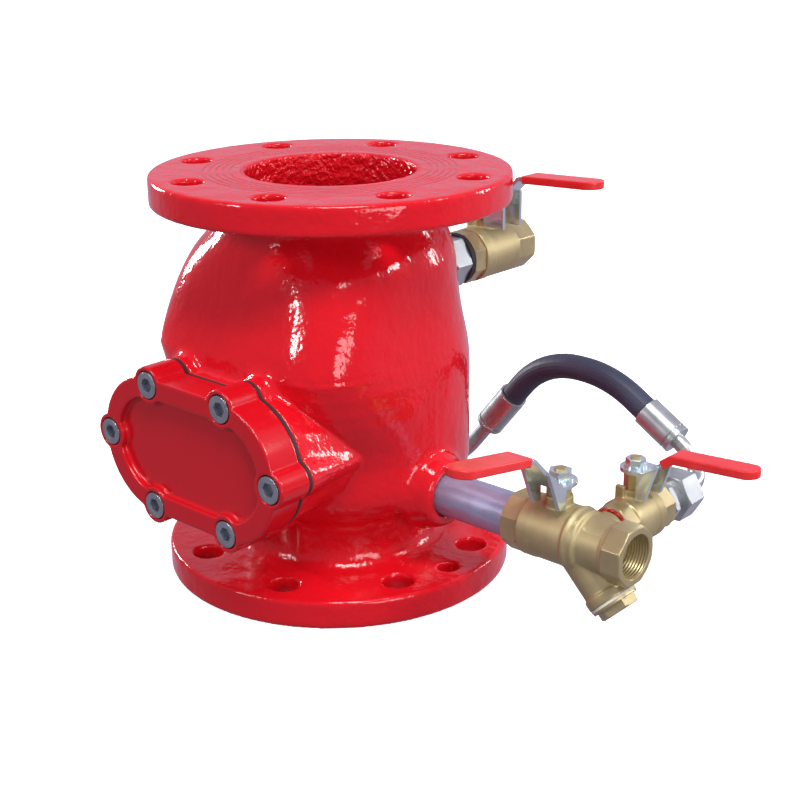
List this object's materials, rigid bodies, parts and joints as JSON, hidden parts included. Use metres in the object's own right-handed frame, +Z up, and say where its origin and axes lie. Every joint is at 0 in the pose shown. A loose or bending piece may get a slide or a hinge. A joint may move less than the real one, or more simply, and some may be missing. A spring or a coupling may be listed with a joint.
{
  "type": "sprinkler alarm valve",
  "caption": "Flanged wet-pipe sprinkler alarm check valve with a hinged clapper, hand-hole cover, and alarm, test and drain lines with lever ball valves.",
  "frame": {"origin": "centre of the lower flange's bottom face", "axes": "+Z up the waterway, -Y towards the hand-hole cover, +X along the alarm line, +Y towards the drain valve and the hose port"},
  "size_m": [0.3863, 0.3095, 0.254],
  "materials": {
    "red_enamel": "gloss enamel on cast iron",
    "red_sleeve": "dipped vinyl sleeve",
    "brass": "cast and machined",
    "bronze": "machined bronze",
    "zinc": "zinc plated or galvanised",
    "chrome": "bright plated",
    "rubber": "matt black",
    "ptfe": "sealing plastic",
    "sealant": "set thread sealant"
  },
  "bodies": {
    "valve": {"valve_body": "red_enamel", "hand_hole_cover": "red_enamel", "cover_gasket": "rubber", "cover_screws": "zinc", "seat_ring": "bronze", "hinge_pin": "zinc", "alarm_nipple": "zinc", "alarm_tailpiece": "brass", "strainer_body": "brass", "alarm_ball_seats": "ptfe", "alarm_gland_nut": "brass", "strainer_screen": "chrome", "strainer_cap": "brass", "strainer_cap_gasket": "ptfe", "test_nipple": "zinc", "test_thread_seal": "sealant", "test_valve_body": "brass", "test_tailpiece": "brass", "test_ball_seats": "ptfe", "test_gland_nut": "brass", "test_hose_adapter": "zinc", "hose_nut_front": "zinc", "hose_elbow_front": "zinc", "hose_ferrule_front": "zinc", "test_hose": "rubber", "hose_ferrule_rear": "zinc", "hose_elbow_rear": "zinc", "hose_nut_rear": "zinc", "body_hose_adapter": "zinc", "drain_nipple": "zinc", "drain_seal_ring": "rubber", "drain_tailpiece": "brass", "drain_valve_body": "brass", "drain_ball_seats": "ptfe", "drain_gland_nut": "brass"},
    "clapper": {"clapper": "bronze", "clapper_facing": "rubber", "facing_retainer": "bronze", "clapper_bolt": "zinc", "clapper_nut": "zinc", "hinge_bushes": "brass"},
    "alarm_handle": {"alarm_ball": "chrome", "alarm_stem": "brass", "alarm_lever": "chrome", "alarm_lever_sleeve": "red_sleeve", "alarm_lever_nut": "chrome"},
    "test_handle": {"test_ball": "chrome", "test_stem": "brass", "test_lever": "chrome", "test_lever_sleeve": "red_sleeve", "test_lever_nut": "chrome"},
    "drain_handle": {"drain_ball": "chrome", "drain_stem": "brass", "drain_lever": "chrome", "drain_lever_sleeve": "red_sleeve", "drain_lever_nut": "chrome"}
  },
  "joints": [
    {"name": "clapper_hinge", "type": "hinge", "parent": "valve", "child": "clapper", "pos_m": [0, 0.066, 0.09275], "axis": [-1, 0, 0], "range_deg": [0, 60]},
    {"name": "alarm_handle_turn", "type": "hinge", "parent": "valve", "child": "alarm_handle", "pos_m": [0.1765, 0, 0.067], "axis": [0, 0, 1], "range_deg": [0, 90]},
    {"name": "test_handle_turn", "type": "hinge", "parent": "valve", "child": "test_handle", "pos_m": [0.198, 0.0435, 0.067], "axis": [0, 0, 1], "range_deg": [0, 90]},
    {"name": "drain_handle_turn", "type": "hinge", "parent": "valve", "child": "drain_handle", "pos_m": [0, 0.148, 0.1755], "axis": [0, 0, 1], "range_deg": [0, 90]}
  ]
}
